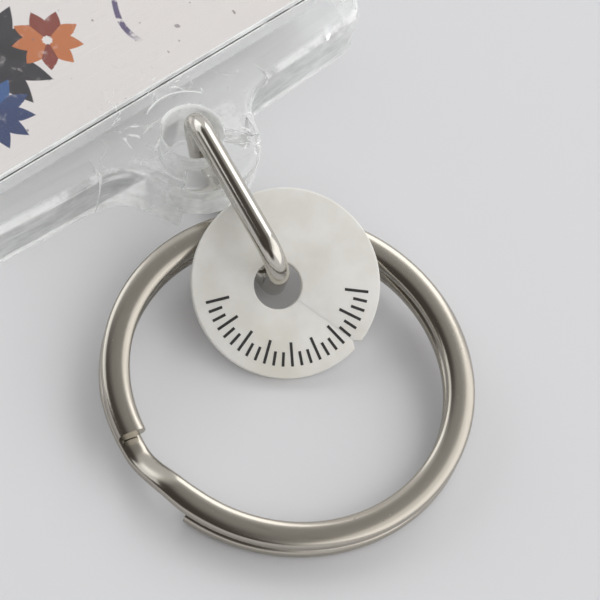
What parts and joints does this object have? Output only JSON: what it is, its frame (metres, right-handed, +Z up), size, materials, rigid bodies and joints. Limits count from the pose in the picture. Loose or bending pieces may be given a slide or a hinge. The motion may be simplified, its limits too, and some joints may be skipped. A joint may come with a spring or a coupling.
{
  "type": "acrylic keychain",
  "caption": "Clear acrylic snap-in picture keychain: a lugged tray with a snap-in cover over a printed card, on a bent wire link with a slit tag disc and a split key ring.",
  "frame": {"origin": "centre of the tray's flat back face, which lies on the table", "axes": "+X along the tray towards its lug and the split ring, +Y across the tray, +Z up through the card and the clear cover"},
  "size_m": [0.0866, 0.0362, 0.008],
  "materials": {
    "clear_acrylic": "polished clear",
    "clear_cover": "polished clear",
    "printed_card": "printed",
    "nickel_wire": "nickel plated",
    "nickel_ring": "nickel plated",
    "white_plastic": "satin"
  },
  "bodies": {
    "tray": {"tray_frame": "clear_acrylic", "printed_card": "printed_card"},
    "cover": {"snap_cover": "clear_cover"},
    "link": {"wire_link": "nickel_wire"},
    "disc": {"tag_disc": "white_plastic"},
    "ring": {"split_ring": "nickel_ring"}
  },
  "joints": [
    {"name": "cover_lift", "type": "slide", "parent": "tray", "child": "cover", "axis": [0, 0, 1], "range_m": [0, 0.006]},
    {"name": "link_swing", "type": "hinge", "parent": "tray", "child": "link", "pos_m": [0.0286, 0, 0], "axis": [0, 0, 1], "range_deg": [-22, 50]},
    {"name": "disc_turn", "type": "hinge", "parent": "link", "child": "disc", "pos_m": [0.04058, -0.00239, 0.00298], "axis": [0.3883, -0.2852, 0.8763], "continuous": true},
    {"name": "ring_swing", "type": "hinge", "parent": "link", "child": "ring", "pos_m": [0.03605, -0.00065, 0.0028], "axis": [0.4648, 0.8854, 0], "range_deg": [0, 80]}
  ]
}
